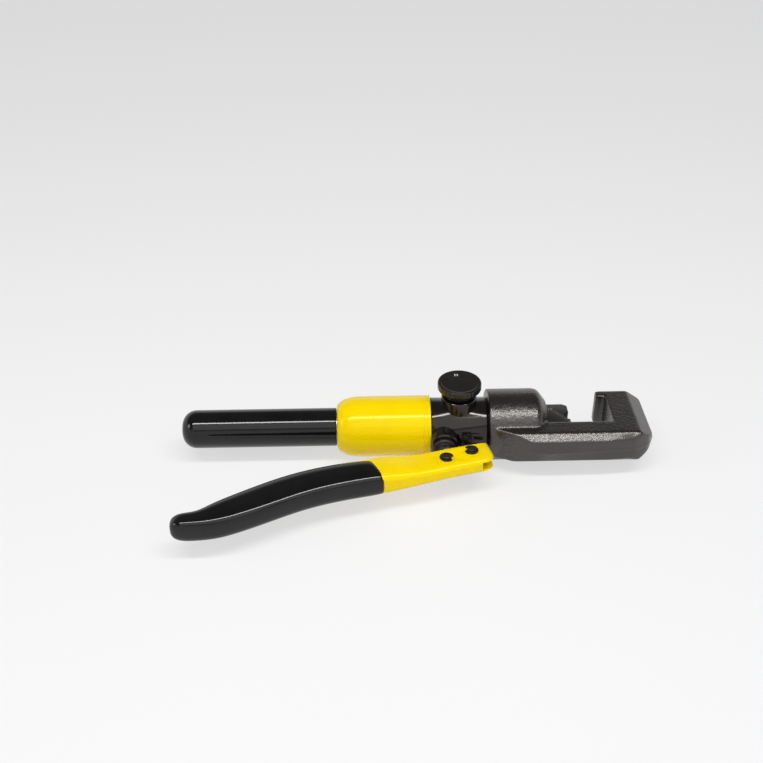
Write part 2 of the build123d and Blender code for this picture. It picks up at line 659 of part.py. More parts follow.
def lever_blank(grow, first=0, setback=0.0, overhang=0.0, end=0.0):
    """Solid inside the lever's two outlines.

    It is grown on the web and on both sides. It starts at station first and reaches
    past the open back by overhang and past the tail by end. Inside the grip its back
    stands in by setback.
    """
    order = range(first, len(stations))
    last = len(stations) - 1
    web = [side_point(i, -stations[i][2] - grow) for i in order]
    back = [side_point(i, stations[i][2] + overhang - setback * (i >= grip_first)) for i in order]
    if end:
        web.append(side_point(last, -stations[last][2] - grow, -end))
        back.append(side_point(last, stations[last][2] + overhang - setback, -end))
    widths = [(stations[i][0], stations[i][3] + grow) for i in order if i >= straight_to]
    widths.append((stations[last][0] - end - 1, stations[last][3] + grow))
    start = (stations[first][0] + 20, widths[0][1])
    with BuildPart() as blank:
        with BuildSketch(Plane.XY):
            with BuildLine():
                web_line = Spline(*web)
                back_line = Spline(*back)
                Line(web_line @ 0, back_line @ 0)
                Line(web_line @ 1, back_line @ 1)
            make_face()
        extrude(amount=30, both=True)
        with BuildSketch(Plane.XZ):
            with BuildLine():
                Line(start, widths[0])
                upper = Spline(*widths, tangents=((-1, 0), (-1, 0)))
                Line(upper @ 1, (upper @ 1).X * Vector(1, 0))
                Line((start[0], 0), start)
                Line((start[0], 0), (upper @ 1).X * Vector(1, 0))
            make_face()
            mirror(about=Plane.XZ)
        extrude(amount=200, both=True, mode=Mode.INTERSECT)
    return blank.part


def long_edges(builder):
    """Edges that run the length of the lever, beside its faces."""
    return builder.edges().filter_by(lambda edge: edge.length > 80 and abs(edge.center().Z) > 1)


lever_tip_round = 7.5
notch_x = fulcrum_x + 6.5  # the web ends here, between the two cheeks
cheek_inside = lever_half - lever_sheet
with BuildPart() as channel_hollow:
    add(lever_blank(-lever_sheet, overhang=5.0))
    fillet(long_edges(channel_hollow).sort_by(Axis.Y)[:2], lever_round - lever_sheet)

with BuildPart() as lever:
    add(lever_blank(0.0, setback=grip_setback))
    fillet(lever.edges().filter_by(Axis.Z).sort_by(Axis.X)[-2:], lever_tip_round)
    fillet(long_edges(lever).sort_by(Axis.Y)[:2], lever_round)
    add(channel_hollow.part, mode=Mode.SUBTRACT)
    with BuildSketch(Plane.XY):
        with Locations((notch_x + 10, fulcrum_y)):
            Rectangle(20, 40)
    extrude(amount=cheek_inside, both=True, mode=Mode.SUBTRACT)
    for x, y in ((plunger_x, plunger_pin_y), (fulcrum_x, fulcrum_y)):
        add(drilled((x, y, -20), (x, y, 20), pin_radius + running), mode=Mode.SUBTRACT)
save(lever, "lever")

# Pins of the lever and the clips on their ends
clip_thickness = 0.8
clip_radius = pin_radius + 1.5
clip_gape = 1.1 * pin_radius
clip_z = lever_half + 0.05
pin_half = clip_z + clip_thickness + 1.3
pin_groove = 0.6


def lever_pin(x, y):
    """Plain pin with a clip groove near each end."""
    groove = pin_radius - pin_groove
    half = [(0, 0), (pin_radius, 0), (pin_radius, clip_z), (groove, clip_z),
            (groove, clip_z + clip_thickness + 0.05), (pin_radius, clip_z + clip_thickness + 0.05),
            (pin_radius, pin_half - 0.4), (pin_radius - 0.4, pin_half), (0, pin_half)]
    with BuildPart() as pin:
        add(turned(half, (x, y, 0), "Z"))
        mirror(about=Plane.XY)
    return pin.part


with BuildPart() as plunger_pin:
    add(lever_pin(plunger_x, plunger_pin_y))
save(plunger_pin, "plunger_pin")

with BuildPart() as fulcrum_pin:
    add(lever_pin(fulcrum_x, fulcrum_y))
save(fulcrum_pin, "fulcrum_pin")

with BuildPart() as pin_clips:
    for x, y, facing in ((plunger_x, plunger_pin_y, -15), (fulcrum_x, fulcrum_y, 170)):
        with BuildSketch(Plane.XY.offset(clip_z + 0.02)):
            with Locations(Location((x, y, 0), facing)):
                Circle(clip_radius)
                Circle(pin_radius - pin_groove + 0.02, mode=Mode.SUBTRACT)
                with Locations((clip_radius, 0)):
                    Rectangle(2 * clip_radius, clip_gape, mode=Mode.SUBTRACT)
        extrude(amount=clip_thickness)
    mirror(about=Plane.XY)
save(pin_clips, "pin_clips")

# Vinyl grip on the lever, closed over the channel's open back and solid past its tail
mouth_x = plunger_x - 44.5
mouth_y = plunger_pin_y - 11.9
mouth_slant = 18.0         # degrees between the mouth's edge and a square cut
grip_fit = 0.12
grip_tail = 9.0
tail_round = 6.2
grip_round = 5.0
with BuildPart() as grip_hollow:
    add(lever_blank(grip_fit, first=grip_from, overhang=grip_fit, end=grip_fit))
    fillet(long_edges(grip_hollow), lever_round - 0.2)

with BuildPart() as lever_grip:
    add(lever_blank(lever_grip_wall, first=grip_from, overhang=lever_grip_wall, end=grip_tail))
    fillet(lever_grip.edges().filter_by(Axis.Z).sort_by(Axis.X)[:2], tail_round)
    rims = lever_grip.edges().filter_by(lambda edge: abs(edge.center().Z) > 1 and edge.center().X < mouth_x + 15)
    fillet(rims, grip_round)
    add(grip_hollow.part, mode=Mode.SUBTRACT)
    with BuildSketch(Plane.XY):
        with Locations(Location((mouth_x, mouth_y, 0), degrees(heading(grip_from + 1)) + mouth_slant)):
            with Locations((40, 0)):
                Rectangle(80, 80)
    extrude(amount=30, both=True, mode=Mode.SUBTRACT)
save(lever_grip, "lever_grip")
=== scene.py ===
import json
from math import atan2, cos, pi, radians, sin

import bmesh
import bpy
from mathutils import Matrix, Vector, noise


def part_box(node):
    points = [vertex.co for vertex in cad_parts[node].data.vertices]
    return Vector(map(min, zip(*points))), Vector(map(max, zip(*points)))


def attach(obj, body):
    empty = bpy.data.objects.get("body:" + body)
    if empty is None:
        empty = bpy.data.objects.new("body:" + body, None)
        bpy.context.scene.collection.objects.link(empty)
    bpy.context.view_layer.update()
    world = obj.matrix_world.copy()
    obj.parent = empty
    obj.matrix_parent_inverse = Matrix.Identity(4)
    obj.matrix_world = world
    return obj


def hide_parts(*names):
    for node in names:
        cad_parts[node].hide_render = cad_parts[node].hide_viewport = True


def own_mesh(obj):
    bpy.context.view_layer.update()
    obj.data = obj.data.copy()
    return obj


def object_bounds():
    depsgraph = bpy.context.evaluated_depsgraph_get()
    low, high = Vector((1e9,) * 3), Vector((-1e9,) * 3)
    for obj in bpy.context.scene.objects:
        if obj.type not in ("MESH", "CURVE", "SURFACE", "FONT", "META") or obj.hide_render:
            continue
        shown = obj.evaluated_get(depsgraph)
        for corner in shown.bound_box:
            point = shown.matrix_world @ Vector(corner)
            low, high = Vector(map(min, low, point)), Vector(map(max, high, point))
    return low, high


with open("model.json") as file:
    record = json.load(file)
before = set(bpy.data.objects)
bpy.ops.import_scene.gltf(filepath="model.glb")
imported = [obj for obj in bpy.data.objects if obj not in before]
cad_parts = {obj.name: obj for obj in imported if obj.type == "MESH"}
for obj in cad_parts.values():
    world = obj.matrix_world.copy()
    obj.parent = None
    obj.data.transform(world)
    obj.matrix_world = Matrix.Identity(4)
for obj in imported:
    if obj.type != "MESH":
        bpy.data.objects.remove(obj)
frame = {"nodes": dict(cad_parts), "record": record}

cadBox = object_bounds()
nodes = frame["nodes"]
mm = 0.001


# Camera, lamps and floor
cameraSetup = {"place": (-0.0243, -0.6062, 0.4372), "pitch": 33.5, "yaw": 1.7, "lens": 52.5, "nearest": 0.01}
lampSetup = {
    "strip": {"place": (0.02, -0.34, 0.9), "size": (1.2, 0.09), "watts": 7.5},
    "soft box": {"place": (0.05, -0.72, 0.78), "size": (1.3, 0.6), "watts": 3.0},
    "window": {"place": (-0.95, -0.25, 0.5), "size": (0.3, 0.3), "watts": 1.2},
}
lampTarget = Vector((0.01, -0.03, 0.0))
floorSetup = {"size": 14.0, "colour": (0.9, 0.9, 0.9), "shade": 0.985, "backdrop": (0.93, 0.93, 0.93),
              "glow": 0.66, "daylight": 0.22, "ceiling": 0.16, "sweep": (0.3, 0.55)}


def makeCamera():
    data = bpy.data.cameras.new("camera")
    data.lens = cameraSetup["lens"]
    data.clip_start = cameraSetup["nearest"]
    camera = bpy.data.objects.new("camera", data)
    camera.location = cameraSetup["place"]
    camera.rotation_euler = (radians(90 - cameraSetup["pitch"]), 0, radians(-cameraSetup["yaw"]))
    bpy.context.scene.collection.objects.link(camera)
    bpy.context.scene.camera = camera
    bpy.context.scene.view_settings.view_transform = "Standard"


def makeLamps():
    for name, setup in lampSetup.items():
        data = bpy.data.lights.new(name, "AREA")
        data.shape = "RECTANGLE"
        data.size, data.size_y = setup["size"]
        data.energy = setup["watts"]
        lamp = bpy.data.objects.new(name, data)
        lamp.location = setup["place"]
        aim = lampTarget - Vector(setup["place"])
        lamp.rotation_euler = aim.to_track_quat("-Z", "Y").to_euler()
        bpy.context.scene.collection.objects.link(lamp)


def backgroundRays(tree, strength=1.0):
    # strength for rays that meet the background from the camera, a glossy face or glass, and 0 for the rest
    rays = tree.nodes.new("ShaderNodeLightPath")
    value = rays.outputs["Is Camera Ray"]
    for name in ("Is Glossy Ray", "Is Transmission Ray"):
        either = tree.nodes.new("ShaderNodeMath")
        either.operation = "MAXIMUM"
        tree.links.new(value, either.inputs[0])
        tree.links.new(rays.outputs[name], either.inputs[1])
        value = either.outputs[0]
    part = tree.nodes.new("ShaderNodeMath")
    part.operation = "MULTIPLY"
    part.inputs[1].default_value = strength
    tree.links.new(value, part.inputs[0])
    return part.outputs[0]


def skyLevel(tree):
    # the backdrop's strength, which falls from 1 near the horizon to that of the ceiling
    direction = tree.nodes.new("ShaderNodeTexCoord").outputs["Generated"]
    parts = tree.nodes.new("ShaderNodeSeparateXYZ")
    tree.links.new(direction, parts.inputs[0])
    return ramp(tree, parts.outputs["Z"], 1.0, floorSetup["ceiling"], *floorSetup["sweep"])


def makeWorld():
    world = bpy.data.worlds.new("studio")
    world.use_nodes = True
    tree = world.node_tree
    tree.nodes.clear()
    backdrop = tree.nodes.new("ShaderNodeBackground")
    backdrop.inputs["Color"].default_value = (*floorSetup["backdrop"], 1)
    tree.links.new(skyLevel(tree), backdrop.inputs["Strength"])
    daylight = tree.nodes.new("ShaderNodeBackground")
    daylight.inputs["Strength"].default_value = floorSetup["daylight"]
    mix = tree.nodes.new("ShaderNodeMixShader")
    out = tree.nodes.new("ShaderNodeOutputWorld")
    tree.links.new(backgroundRays(tree), mix.inputs["Fac"])
    tree.links.new(daylight.outputs[0], mix.inputs[1])
    tree.links.new(backdrop.outputs[0], mix.inputs[2])
    tree.links.new(mix.outputs[0], out.inputs["Surface"])
    bpy.context.scene.world = world


# Materials: every pattern reads Object coordinates, in metres
def newMaterial(name):
    material = bpy.data.materials.new(name)
    material.use_nodes = True
    tree = material.node_tree
    shader = tree.nodes["Principled BSDF"]
    place = tree.nodes.new("ShaderNodeTexCoord").outputs["Object"]
    return material, tree, shader, place


def noiseOf(tree, place, scale, detail, rough=0.55, stretch=None):
    if stretch:
        mapping = tree.nodes.new("ShaderNodeMapping")
        mapping.inputs["Scale"].default_value = stretch
        tree.links.new(place, mapping.inputs["Vector"])
        place = mapping.outputs[0]
    pattern = tree.nodes.new("ShaderNodeTexNoise")
    pattern.inputs["Scale"].default_value = scale
    pattern.inputs["Detail"].default_value = detail
    pattern.inputs["Roughness"].default_value = rough
    tree.links.new(place, pattern.inputs["Vector"])
    return pattern.outputs["Fac"]


def ramp(tree, value, low, high, start=0.35, end=0.65):
    steps = tree.nodes.new("ShaderNodeMapRange")
    steps.inputs["From Min"].default_value = start
    steps.inputs["From Max"].default_value = end
    steps.inputs["To Min"].default_value = low
    steps.inputs["To Max"].default_value = high
    tree.links.new(value, steps.inputs["Value"])
    return steps.outputs["Result"]


def setColour(tree, shader, pattern, dark, light, start=0.35, end=0.65):
    mix = tree.nodes.new("ShaderNodeMix")
    mix.data_type = "RGBA"
    mix.inputs["A"].default_value = (*dark, 1)
    mix.inputs["B"].default_value = (*light, 1)
    tree.links.new(ramp(tree, pattern, 0, 1, start, end), mix.inputs["Factor"])
    tree.links.new(mix.outputs["Result"], shader.inputs["Base Color"])


def setRoughness(tree, shader, pattern, low, high, start=0.35, end=0.65):
    tree.links.new(ramp(tree, pattern, low, high, start, end), shader.inputs["Roughness"])


def setSpecular(shader, level, tint=(1.0, 1.0, 1.0)):
    shader.inputs["Specular IOR Level"].default_value = level
    shader.inputs["Specular Tint"].default_value = (*tint, 1)


def bumps(tree, shader, layers):
    # each layer is a height pattern, its depth in metres and how strongly it shows
    normal = None
    for height, depth, strength in layers:
        bump = tree.nodes.new("ShaderNodeBump")
        bump.inputs["Distance"].default_value = depth
        bump.inputs["Strength"].default_value = strength
        tree.links.new(height, bump.inputs["Height"])
        if normal:
            tree.links.new(normal, bump.inputs["Normal"])
        normal = bump.outputs["Normal"]
    tree.links.new(normal, shader.inputs["Normal"])


def yellowEnamel():
    material, tree, shader, place = newMaterial("yellowEnamel")
    tint = noiseOf(tree, place, scale=35, detail=2)
    haze = noiseOf(tree, place, scale=420, detail=3)
    waves = noiseOf(tree, place, scale=120, detail=1)
    peel = noiseOf(tree, place, scale=900, detail=1)
    setColour(tree, shader, tint, dark=(0.93, 0.66, 0.0), light=(0.96, 0.7, 0.0))
    setRoughness(tree, shader, haze, low=0.14, high=0.2)
    setSpecular(shader, 0.4, (1.0, 0.86, 0.3))
    bumps(tree, shader, [(waves, 0.6 * mm, 0.05), (peel, 0.1 * mm, 0.08)])
    return material


def gripVinyl():
    material, tree, shader, place = newMaterial("gripVinyl")
    tint = noiseOf(tree, place, scale=60, detail=3)
    haze = noiseOf(tree, place, scale=260, detail=4)
    waves = noiseOf(tree, place, scale=38, detail=1)
    grain = noiseOf(tree, place, scale=700, detail=2)
    setColour(tree, shader, tint, dark=(0.0035, 0.003, 0.003), light=(0.006, 0.0055, 0.0055))
    setRoughness(tree, shader, haze, low=0.06, high=0.1)
    setSpecular(shader, 0.4)
    bumps(tree, shader, [(waves, 1.2 * mm, 0.1), (grain, 0.06 * mm, 0.12)])
    return material


def blackGloss():
    material, tree, shader, place = newMaterial("blackGloss")
    tint = noiseOf(tree, place, scale=90, detail=4)
    scratches = noiseOf(tree, place, scale=300, detail=6, rough=0.7, stretch=(0.25, 1, 1))
    waves = noiseOf(tree, place, scale=160, detail=2)
    setColour(tree, shader, tint, dark=(0.006, 0.005, 0.005), light=(0.012, 0.01, 0.009))
    setRoughness(tree, shader, scratches, low=0.08, high=0.16, start=0.4, end=0.7)
    setSpecular(shader, 0.45, (1.0, 0.93, 0.9))
    bumps(tree, shader, [(waves, 0.4 * mm, 0.08), (scratches, 0.05 * mm, 0.15)])
    return material


def forgedBlack():
    material, tree, shader, place = newMaterial("forgedBlack")
    patches = noiseOf(tree, place, scale=55, detail=5, rough=0.6)
    grain = noiseOf(tree, place, scale=1100, detail=5, rough=0.62)
    pits = noiseOf(tree, place, scale=420, detail=4)
    setColour(tree, shader, patches, dark=(0.005, 0.0035, 0.003), light=(0.012, 0.008, 0.007))
    setRoughness(tree, shader, grain, low=0.22, high=0.34)
    setSpecular(shader, 1.0, (1.0, 0.95, 0.93))
    bumps(tree, shader, [(pits, 0.7 * mm, 0.35), (grain, 0.2 * mm, 0.4)])
    return material


def dieOxide():
    material, tree, shader, place = newMaterial("dieOxide")
    patches = noiseOf(tree, place, scale=150, detail=4)
    milling = noiseOf(tree, place, scale=900, detail=3, rough=0.6, stretch=(1, 0.12, 1))
    setColour(tree, shader, patches, dark=(0.01, 0.008, 0.008), light=(0.02, 0.016, 0.015))
    setRoughness(tree, shader, milling, low=0.32, high=0.48)
    setSpecular(shader, 0.4)
    bumps(tree, shader, [(milling, 0.08 * mm, 0.4)])
    return material


def turnedMetal(name, colour):
    material, tree, shader, place = newMaterial(name)
    rings = noiseOf(tree, place, scale=320, detail=3, rough=0.6, stretch=(1, 14, 14))
    crest = tuple(1.18 * c for c in colour)
    setColour(tree, shader, rings, dark=colour, light=crest)
    setRoughness(tree, shader, rings, low=0.22, high=0.38)
    shader.inputs["Metallic"].default_value = 1.0
    bumps(tree, shader, [(rings, 0.04 * mm, 0.3)])
    return material


def sealRubber():
    material, tree, shader, place = newMaterial("sealRubber")
    grain = noiseOf(tree, place, scale=700, detail=4)
    setColour(tree, shader, grain, dark=(0.012, 0.012, 0.012), light=(0.022, 0.022, 0.022))
    setRoughness(tree, shader, grain, low=0.5, high=0.68)
    bumps(tree, shader, [(grain, 0.1 * mm, 0.3)])
    return material


def floorPaper():
    material, tree, shader, place = newMaterial("floorPaper")
    tint = noiseOf(tree, place, scale=3, detail=2)
    pale = floorSetup["colour"]
    shaded = tuple(floorSetup["shade"] * c for c in pale)
    setColour(tree, shader, tint, dark=shaded, light=pale)
    shader.inputs["Roughness"].default_value = 0.75
    setSpecular(shader, 0.2)
    glow = tree.nodes.new("ShaderNodeEmission")
    glow.inputs["Color"].default_value = (*floorSetup["backdrop"], 1)
    mix = tree.nodes.new("ShaderNodeMixShader")
    tree.links.new(backgroundRays(tree, floorSetup["glow"]), mix.inputs["Fac"])
    tree.links.new(shader.outputs[0], mix.inputs[1])
    tree.links.new(glow.outputs[0], mix.inputs[2])
    tree.links.new(mix.outputs[0], tree.nodes["Material Output"].inputs["Surface"])
    return material


def makeFloor():
    lowest = cadBox[0][2]
    bm = bmesh.new()
    bmesh.ops.create_grid(bm, x_segments=1, y_segments=1, size=floorSetup["size"] / 2)
    bmesh.ops.translate(bm, verts=bm.verts, vec=(0, 0, lowest))
    mesh = bpy.data.meshes.new("floor")
    bm.to_mesh(mesh)
    bm.free()
    floor = bpy.data.objects.new("floor", mesh)
    bpy.context.scene.collection.objects.link(floor)
    mesh.materials.append(floorPaper())


makeCamera()
makeLamps()
makeWorld()
makeFloor()
print("camera, lamps and floor are set")

finishes = {
    "yellow_paint": yellowEnamel(), "grip_vinyl": gripVinyl(), "black_body": blackGloss(),
    "forged_black": forgedBlack(), "die_black": dieOxide(),
    "steel": turnedMetal("turnedSteel", (0.56, 0.56, 0.57)),
    "brass": turnedMetal("turnedBrass", (0.62, 0.44, 0.17)), "seal_rubber": sealRubber(),
}
slotOf = {part["node"]: part["material_slot"] for part in frame["record"]["subparts"]}
bodyOf = {node: body for body, members in frame["record"]["behaviour"]["bodies"].items() for node in members}
for name, node in nodes.items():
    node.data.materials.clear()
    node.data.materials.append(finishes[slotOf[name]])
print("finishes are on", len(nodes), "nodes")


# Making a piece: merge distances in metres, angles in degrees
making = {"merge": 0.000001, "copyMerge": 0.000002, "flat": 0.6, "sharp": 28.0, "segments": 2}


def camelName(node):
    first, *rest = node.split("_")
    return first + "".join(word.capitalize() for word in rest)


def finishPiece(name, bm, node, smoothAngle, turnOut=True):
    bmesh.ops.remove_doubles(bm, verts=bm.verts, dist=making["merge"])
    if turnOut:
        bmesh.ops.recalc_face_normals(bm, faces=bm.faces)
    for face in bm.faces:
        face.smooth = True
    mesh = bpy.data.meshes.new(name)
    bm.to_mesh(mesh)
    bm.free()
    mesh.set_sharp_from_angle(angle=radians(smoothAngle))
    mesh.materials.append(finishes[slotOf[node]])
    piece = bpy.data.objects.new(name, mesh)
    bpy.context.scene.collection.objects.link(piece)
    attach(piece, bodyOf[node])
    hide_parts(node)
    return piece


def corner(centre, radius, start, end, steps):
    # points of a round corner, from start to end in degrees
    turns = [radians(start + (end - start) * i / steps) for i in range(steps + 1)]
    return [(centre[0] + radius * cos(t), centre[1] + radius * sin(t)) for t in turns]


def movedFrom(along, out, moves):
    # points of an outline, given in millimetres from one of its corners
    return [(along + a * mm, out + r * mm) for a, r in moves]


def lathe(outline, steps=128, axis="X", origin=(0, 0, 0)):
    # outline is a closed line of (along, radius), turned about the axis through origin
    bm = bmesh.new()
    place = {"X": lambda a, r: (a, 0, r), "Z": lambda a, r: (r, 0, a)}[axis]
    points = [bm.verts.new(Vector(origin) + Vector(place(a, r))) for a, r in outline]
    lines = [bm.edges.new((points[i - 1], points[i])) for i in range(len(points))]
    direction = {"X": (1, 0, 0), "Z": (0, 0, 1)}[axis]
    bmesh.ops.spin(bm, geom=points + lines, cent=origin, axis=direction, angle=2 * pi, steps=steps,
                   use_merge=True)
    return bm


def cleanCopy(node, edge):
    # a merged copy of a node, with its sharp edges rounded where edge is above 0
    bm = bmesh.new()
    bm.from_mesh(nodes[node].data)
    bmesh.ops.remove_doubles(bm, verts=bm.verts, dist=making["copyMerge"])
    bmesh.ops.dissolve_limit(bm, angle_limit=radians(making["flat"]), verts=bm.verts, edges=bm.edges)
    if edge:
        sharp = radians(making["sharp"])
        crisp = [e for e in bm.edges if len(e.link_faces) == 2 and e.calc_face_angle(0) > sharp]
        bmesh.ops.bevel(bm, geom=crisp, offset=edge, segments=making["segments"], affect="EDGES", profile=0.5,
                        material=-1, clamp_overlap=True)
    return bm


# Reservoir shell
shell = {"wall": 2.7 * mm, "shoulder": 16 * mm, "shoulderRise": 7 * mm, "shoulderSteps": 18,
         "neckHole": 6.5 * mm, "tubeHole": 11.25 * mm, "tubeSeat": 9 * mm, "cavityStart": 14 * mm,
         "grooves": 2, "grooveEvery": 2.4 * mm, "grooveWidth": 0.8 * mm, "grooveDepth": 0.3 * mm,
         "grooveFloor": 0.55, "lip": 0.5 * mm, "lipSteps": 4, "smooth": 32}


def makeReservoirShell():
    low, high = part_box("reservoir_shell")
    left, right, radius = low.x, high.x, high.z
    rise = [radians(90 * i / shell["shoulderSteps"]) for i in range(shell["shoulderSteps"] + 1)]
    outline = [(left + shell["shoulder"] * (1 - cos(t)), radius - shell["shoulderRise"] * (1 - sin(t)))
               for t in rise]
    half, depth = shell["grooveWidth"] / 2, shell["grooveDepth"]
    for step in range(shell["grooves"], 0, -1):
        groove = right - shell["grooveEvery"] * step
        outline += [(groove - half, radius), (groove - half * shell["grooveFloor"], radius - depth),
                    (groove + half * shell["grooveFloor"], radius - depth), (groove + half, radius)]
    lip = shell["lip"]
    outline += corner((right - lip, radius - lip), lip, 90, 0, shell["lipSteps"])
    inner, neck, tube = radius - shell["wall"], shell["neckHole"], shell["tubeHole"]
    cavity, seat = left + shell["cavityStart"], left + shell["tubeSeat"]
    outline += [(right, inner), (cavity, inner), (cavity, neck), (seat, neck), (seat, tube), (left, tube)]
    return finishPiece("reservoirShell", lathe(outline), "reservoir_shell", shell["smooth"])


# Grip on the handle tube
fixedGrip = {"cap": 6 * mm, "round": 9.5 * mm, "roundSteps": 14, "inside": 11.3 * mm, "mouth": 0.7 * mm,
             "mouthSteps": 4, "smooth": 45}


def makeFixedGrip():
    low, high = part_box("fixed_grip")
    left, right, radius = low.x, high.x, high.z
    bend, mouth, inside = fixedGrip["round"], fixedGrip["mouth"], fixedGrip["inside"]
    cap = left + fixedGrip["cap"]
    outline = [(left, 0.0)]
    outline += corner((left + bend, radius - bend), bend, 180, 90, fixedGrip["roundSteps"])
    outline += corner((right - mouth, radius - mouth), mouth, 90, 0, fixedGrip["mouthSteps"])
    outline += [(right, inside), (cap, inside), (cap, 0.0)]
    return finishPiece("fixedGripVinyl", lathe(outline), "fixed_grip", fixedGrip["smooth"])


# Release knob
knob = {
    "flutes": 36, "fluteSteps": 6, "fluteDepth": 0.28 * mm, "fluteReach": 0.5 * mm, "fluteTop": 0.3 * mm,
    "rim": 4.6 * mm, "hub": 11 * mm, "face": 0.35 * mm, "lip": 2.4 * mm, "socket": 2.58 * mm,
    "edge": 0.9 * mm, "edgeStart": 0.2 * mm, "edgeTurn": 80, "edgeSteps": 5, "stemHole": 3.55 * mm, "smooth": 40,
    # along and out from the hub's foot, the rim's foot and the lip, in millimetres
    "hubRound": [(0.0, -0.6), (0.2, -0.2), (0.6, 0.0)],
    "rimRound": [(-0.5, -0.7), (-0.1, -0.25), (0.3, 0.0)],
    "lipRound": [(0.0, 0.4), (-0.1, 0.1)],
}


def makeReleaseKnob():
    low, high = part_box("release_knob")
    centre = ((low.x + high.x) / 2, 0, 0)
    radius, top, bottom = (high.x - low.x) / 2, high.z, low.z
    rimFoot, edge, face, lip = top - knob["rim"], knob["edge"], top - knob["face"], radius - knob["lip"]
    outline = [(bottom, knob["stemHole"])]
    outline += movedFrom(bottom, knob["hub"], knob["hubRound"])
    outline += movedFrom(rimFoot, radius, knob["rimRound"])
    outline += [(top - edge - knob["edgeStart"], radius)]
    outline += corner((top - edge, radius - edge), edge, knob["edgeTurn"], 0, knob["edgeSteps"])
    outline += movedFrom(top, lip, knob["lipRound"])
    outline += [(face, lip), (face, 0.0), (top - knob["socket"], 0.0), (top - knob["socket"], knob["stemHole"])]
    bm = lathe(outline, knob["flutes"] * knob["fluteSteps"], "Z", centre)
    for vert in bm.verts:
        across = Vector((vert.co.x - centre[0], vert.co.y))
        onRim = across.length > radius - knob["fluteReach"]
        if onRim and rimFoot < vert.co.z < top - knob["fluteTop"]:
            wave = 0.5 + 0.5 * cos(knob["flutes"] * atan2(across.y, across.x))
            across *= 1 - knob["fluteDepth"] * wave ** 2 / radius
            vert.co.x, vert.co.y = centre[0] + across.x, across.y
    return finishPiece("releaseKnob", bm, "release_knob", knob["smooth"])


# Head forging: a remeshed copy whose spine gets one long bevel, and whose forged faces are softened
forging = {
    "voxel": 0.75 * mm, "passes": 6, "unevenness": 0.12 * mm, "lumps": ((160, 0.6), (420, 0.4)), "smooth": 60,
    # the bore and the face at the seam stay as machined
    "bore": 17.6 * mm, "boreEnd": 16.6 * mm, "seam": 0.4 * mm,
    # the solid: half its thickness, and its flat, its bevel and its widest point at the spine
    "half": 11.5 * mm, "flatEnd": 26.9 * mm, "cadBevel": 4.7 * mm, "widest": 35.9 * mm,
    # the bevel made here, taller along the middle of the spine, and the wall under it
    "spineFrom": 24.4 * mm, "bevel": 5.4 * mm, "pastOutline": 0.3 * mm, "steep": 0.77, "leastDrop": 0.1 * mm,
    "tallBevel": 3.9 * mm, "tallFrom": (110 * mm, 130 * mm), "tallTo": (156 * mm, 164 * mm),
    "pull": 0.9 * mm, "pullOver": 2 * mm,
    "partingLine": 0.4 * mm, "partingWidth": 0.8 * mm, "partingFrom": 15 * mm, "partingEnd": 5 * mm,
    "steepestFace": 0.8,
}


def share(value, start, end):
    return min(max((value - start) / (end - start), 0.0), 1.0)


def outlineAtPartingLine(bm, left, right):
    # how far the spine reaches forward at each millimetre along the tool, averaged over its neighbours
    count = round((right - left) / mm)
    reach = [0.0] * (count + 1)
    for vert in bm.verts:
        if vert.co.y < 0 and abs(vert.co.z) < forging["voxel"]:
            i = min(max(round((vert.co.x - left) / mm), 0), count)
            reach[i] = max(reach[i], -vert.co.y)
    spans = [reach[max(i - 1, 0):i + 2] for i in range(count + 1)]
    return [sum(span) / len(span) for span in spans]


def shapeSpine(bm, left, right):
    # moves each vertex of the spine from the solid's profile (old) to the long bevel's (new)
    reach = outlineAtPartingLine(bm, left, right)
    half, flatEnd, cadBevel = forging["half"], forging["flatEnd"], forging["cadBevel"]
    for vert in bm.verts:
        if vert.co.y > -forging["spineFrom"]:
            continue
        x, height = vert.co.x, abs(vert.co.z)
        step = min(max((x - left) / mm, 0), len(reach) - 1.001)
        outer = reach[int(step)] * (1 - step % 1) + reach[int(step) + 1] * (step % 1)
        if height > half - cadBevel:
            old = min(outer, flatEnd + half - height)
        else:
            lean = (forging["widest"] - flatEnd - cadBevel) * (1 - height / (half - cadBevel))
            old = min(outer, flatEnd + cadBevel + lean)
        edge = min(flatEnd + forging["bevel"], max(outer + forging["pastOutline"], flatEnd))
        tall = share(x, *forging["tallFrom"]) * (1 - share(x, *forging["tallTo"]))
        drop = max(forging["steep"] * (edge - flatEnd), tall * forging["tallBevel"])
        pull = forging["pull"] * share(outer, edge, edge + forging["pullOver"])
        if outer <= flatEnd or drop < forging["leastDrop"]:
            new = old
        elif height > half - drop:
            new = flatEnd + (edge - flatEnd) * (half - height) / drop
        else:
            new = edge + (outer - pull - edge) * (1 - height / (half - drop))
        vert.co.y -= new - old


def raisePartingLine(bm, right):
    width = forging["partingWidth"]
    for vert in bm.verts:
        outside = vert.co.y < -forging["partingFrom"] or vert.co.x > right - forging["partingEnd"]
        if outside and abs(vert.normal.z) < forging["steepestFace"] and abs(vert.co.z) < width:
            lift = forging["partingLine"] * (1 - abs(vert.co.z) / width)
            vert.co += Vector((vert.normal.x, vert.normal.y, 0)) * lift


def remeshed(bm, name):
    mesh = bpy.data.meshes.new(name)
    bm.to_mesh(mesh)
    bm.free()
    blank = bpy.data.objects.new(name, mesh)
    bpy.context.scene.collection.objects.link(blank)
    remesh = blank.modifiers.new("remesh", "REMESH")
    remesh.mode = "VOXEL"
    remesh.voxel_size = forging["voxel"]
    depsgraph = bpy.context.evaluated_depsgraph_get()
    bm = bmesh.new()
    bm.from_mesh(bpy.data.meshes.new_from_object(blank.evaluated_get(depsgraph)))
    bpy.data.objects.remove(blank)
    return bm


